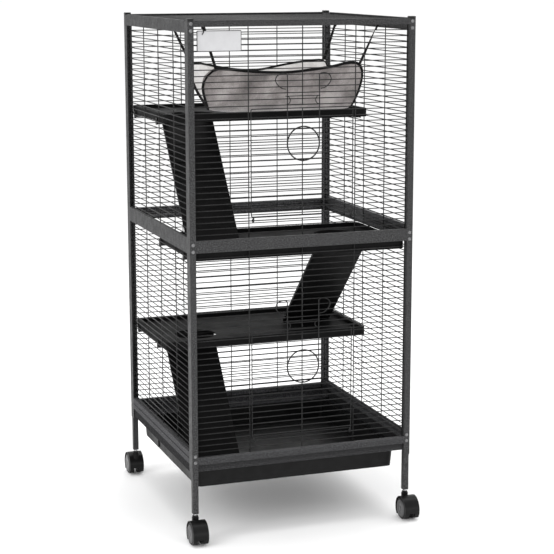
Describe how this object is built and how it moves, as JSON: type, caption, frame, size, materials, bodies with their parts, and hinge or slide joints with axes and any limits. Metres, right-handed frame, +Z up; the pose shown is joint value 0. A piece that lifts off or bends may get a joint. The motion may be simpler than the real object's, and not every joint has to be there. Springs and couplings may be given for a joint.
{
  "type": "small animal cage",
  "caption": "Tall wire cage on casters with platforms joined by ramps, a sling hammock, drop-down doors with spring latches and a pull-out tray.",
  "frame": {"origin": "centre of the footprint on the floor, under the four casters", "axes": "+X to the right seen from the front, -Y towards the doors (front), +Z up"},
  "size_m": [0.5658, 0.6326, 1.193],
  "materials": {
    "frame_steel": "hammertone powder coat",
    "wire_steel": "powder-coated wire",
    "bolt_steel": "dark coated",
    "hardware_steel": "plain steel",
    "deck_plastic": "smooth black moulding",
    "tray_plastic": "smooth black moulding",
    "cap_plastic": "moulded",
    "plush": "short plush",
    "strap_webbing": "woven webbing",
    "plate_plastic": "blank plate",
    "caster_plastic": "moulded",
    "wheel_plastic": "moulded"
  },
  "bodies": {
    "cage": {"corner_tube_front_left": "frame_steel", "corner_tube_front_right": "frame_steel", "corner_tube_back_left": "frame_steel", "corner_tube_back_right": "frame_steel", "corner_angle_front_left": "frame_steel", "corner_angle_front_right": "frame_steel", "corner_angle_back_left": "frame_steel", "corner_angle_back_right": "frame_steel", "post_caps": "cap_plastic", "frame_bolts": "bolt_steel", "top_rail_front": "frame_steel", "top_rail_back": "frame_steel", "top_rail_left": "frame_steel", "top_rail_right": "frame_steel", "mid_rail_front": "frame_steel", "mid_rail_back": "frame_steel", "mid_rail_left": "frame_steel", "mid_rail_right": "frame_steel", "base_rail_front": "frame_steel", "base_rail_back": "frame_steel", "base_rail_left": "frame_steel", "base_rail_right": "frame_steel", "wire_panel_front_upper": "wire_steel", "wire_panel_front_lower": "wire_steel", "wire_panel_back": "wire_steel", "wire_panel_left": "wire_steel", "wire_panel_right": "wire_steel", "wire_panel_roof": "wire_steel", "door_catch_upper": "wire_steel", "door_catch_lower": "wire_steel", "name_plate": "plate_plastic", "name_plate_hook": "hardware_steel", "platform_top": "deck_plastic", "platform_middle": "deck_plastic", "platform_low": "deck_plastic", "platform_clips": "frame_steel", "ramp_hinge_rods": "hardware_steel", "hammock": "plush", "hammock_straps": "strap_webbing", "hammock_hooks": "hardware_steel", "caster_stems": "hardware_steel"},
    "door_upper": {"door_upper": "wire_steel"},
    "latch_upper_left": {"latch_upper_left_arm": "wire_steel"},
    "latch_upper_right": {"latch_upper_right_arm": "wire_steel"},
    "door_lower": {"door_lower": "wire_steel"},
    "latch_lower_left": {"latch_lower_left_arm": "wire_steel"},
    "latch_lower_right": {"latch_lower_right_arm": "wire_steel"},
    "tray": {"tray": "tray_plastic"},
    "ramp_top": {"ramp_top": "deck_plastic"},
    "ramp_middle": {"ramp_middle": "deck_plastic"},
    "ramp_low": {"ramp_low": "deck_plastic"},
    "caster_front_left": {"caster_hood_front_left": "caster_plastic"},
    "wheels_front_left": {"caster_wheels_front_left": "wheel_plastic"},
    "caster_front_right": {"caster_hood_front_right": "caster_plastic"},
    "wheels_front_right": {"caster_wheels_front_right": "wheel_plastic"},
    "caster_back_left": {"caster_hood_back_left": "caster_plastic"},
    "wheels_back_left": {"caster_wheels_back_left": "wheel_plastic"},
    "caster_back_right": {"caster_hood_back_right": "caster_plastic"},
    "wheels_back_right": {"caster_wheels_back_right": "wheel_plastic"}
  },
  "joints": [
    {"name": "door_upper_hinge", "type": "hinge", "parent": "cage", "child": "door_upper", "pos_m": [0, -0.266, 0.741], "axis": [1, 0, 0], "range_deg": [0, 155]},
    {"name": "door_lower_hinge", "type": "hinge", "parent": "cage", "child": "door_lower", "pos_m": [0, -0.266, 0.226], "axis": [1, 0, 0], "range_deg": [0, 120]},
    {"name": "latch_upper_left_spread", "type": "hinge", "parent": "door_upper", "child": "latch_upper_left", "pos_m": [0, -0.2713, 0.8735], "axis": [0, -1, 0], "range_deg": [0, 7], "stiffness_Nm_per_rad": 1},
    {"name": "latch_upper_right_spread", "type": "hinge", "parent": "door_upper", "child": "latch_upper_right", "pos_m": [0, -0.2713, 0.8735], "axis": [0, 1, 0], "range_deg": [0, 7], "stiffness_Nm_per_rad": 1},
    {"name": "latch_lower_left_spread", "type": "hinge", "parent": "door_lower", "child": "latch_lower_left", "pos_m": [0, -0.2713, 0.3565], "axis": [0, -1, 0], "range_deg": [0, 7], "stiffness_Nm_per_rad": 1},
    {"name": "latch_lower_right_spread", "type": "hinge", "parent": "door_lower", "child": "latch_lower_right", "pos_m": [0, -0.2713, 0.3565], "axis": [0, 1, 0], "range_deg": [0, 7], "stiffness_Nm_per_rad": 1},
    {"name": "tray_slide", "type": "slide", "parent": "cage", "child": "tray", "axis": [0, 1, 0], "range_m": [-0.28, 0]},
    {"name": "ramp_top_lift", "type": "hinge", "parent": "cage", "child": "ramp_top", "pos_m": [-0.16, 0.117, 0.9475], "axis": [-1, 0, 0], "range_deg": [0, 35]},
    {"name": "ramp_middle_lift", "type": "hinge", "parent": "cage", "child": "ramp_middle", "pos_m": [0.16, -0.117, 0.658], "axis": [1, 0, 0], "range_deg": [0, 35]},
    {"name": "ramp_low_lift", "type": "hinge", "parent": "cage", "child": "ramp_low", "pos_m": [-0.16, 0.117, 0.401], "axis": [-1, 0, 0], "range_deg": [0, 35]},
    {"name": "caster_front_left_swivel", "type": "hinge", "parent": "cage", "child": "caster_front_left", "pos_m": [-0.2633, -0.2683, 0.054], "axis": [0, 0, 1], "continuous": true},
    {"name": "caster_front_right_swivel", "type": "hinge", "parent": "cage", "child": "caster_front_right", "pos_m": [0.2633, -0.2683, 0.054], "axis": [0, 0, 1], "continuous": true},
    {"name": "caster_back_left_swivel", "type": "hinge", "parent": "cage", "child": "caster_back_left", "pos_m": [-0.2633, 0.2683, 0.054], "axis": [0, 0, 1], "continuous": true},
    {"name": "caster_back_right_swivel", "type": "hinge", "parent": "cage", "child": "caster_back_right", "pos_m": [0.2633, 0.2683, 0.054], "axis": [0, 0, 1], "continuous": true},
    {"name": "wheels_front_left_spin", "type": "hinge", "parent": "caster_front_left", "child": "wheels_front_left", "pos_m": [-0.2633, -0.2863, 0.026], "axis": [1, 0, 0], "continuous": true},
    {"name": "wheels_front_right_spin", "type": "hinge", "parent": "caster_front_right", "child": "wheels_front_right", "pos_m": [0.2633, -0.2863, 0.026], "axis": [1, 0, 0], "continuous": true},
    {"name": "wheels_back_left_spin", "type": "hinge", "parent": "caster_back_left", "child": "wheels_back_left", "pos_m": [-0.2633, 0.2863, 0.026], "axis": [1, 0, 0], "continuous": true},
    {"name": "wheels_back_right_spin", "type": "hinge", "parent": "caster_back_right", "child": "wheels_back_right", "pos_m": [0.2633, 0.2863, 0.026], "axis": [1, 0, 0], "continuous": true}
  ]
}
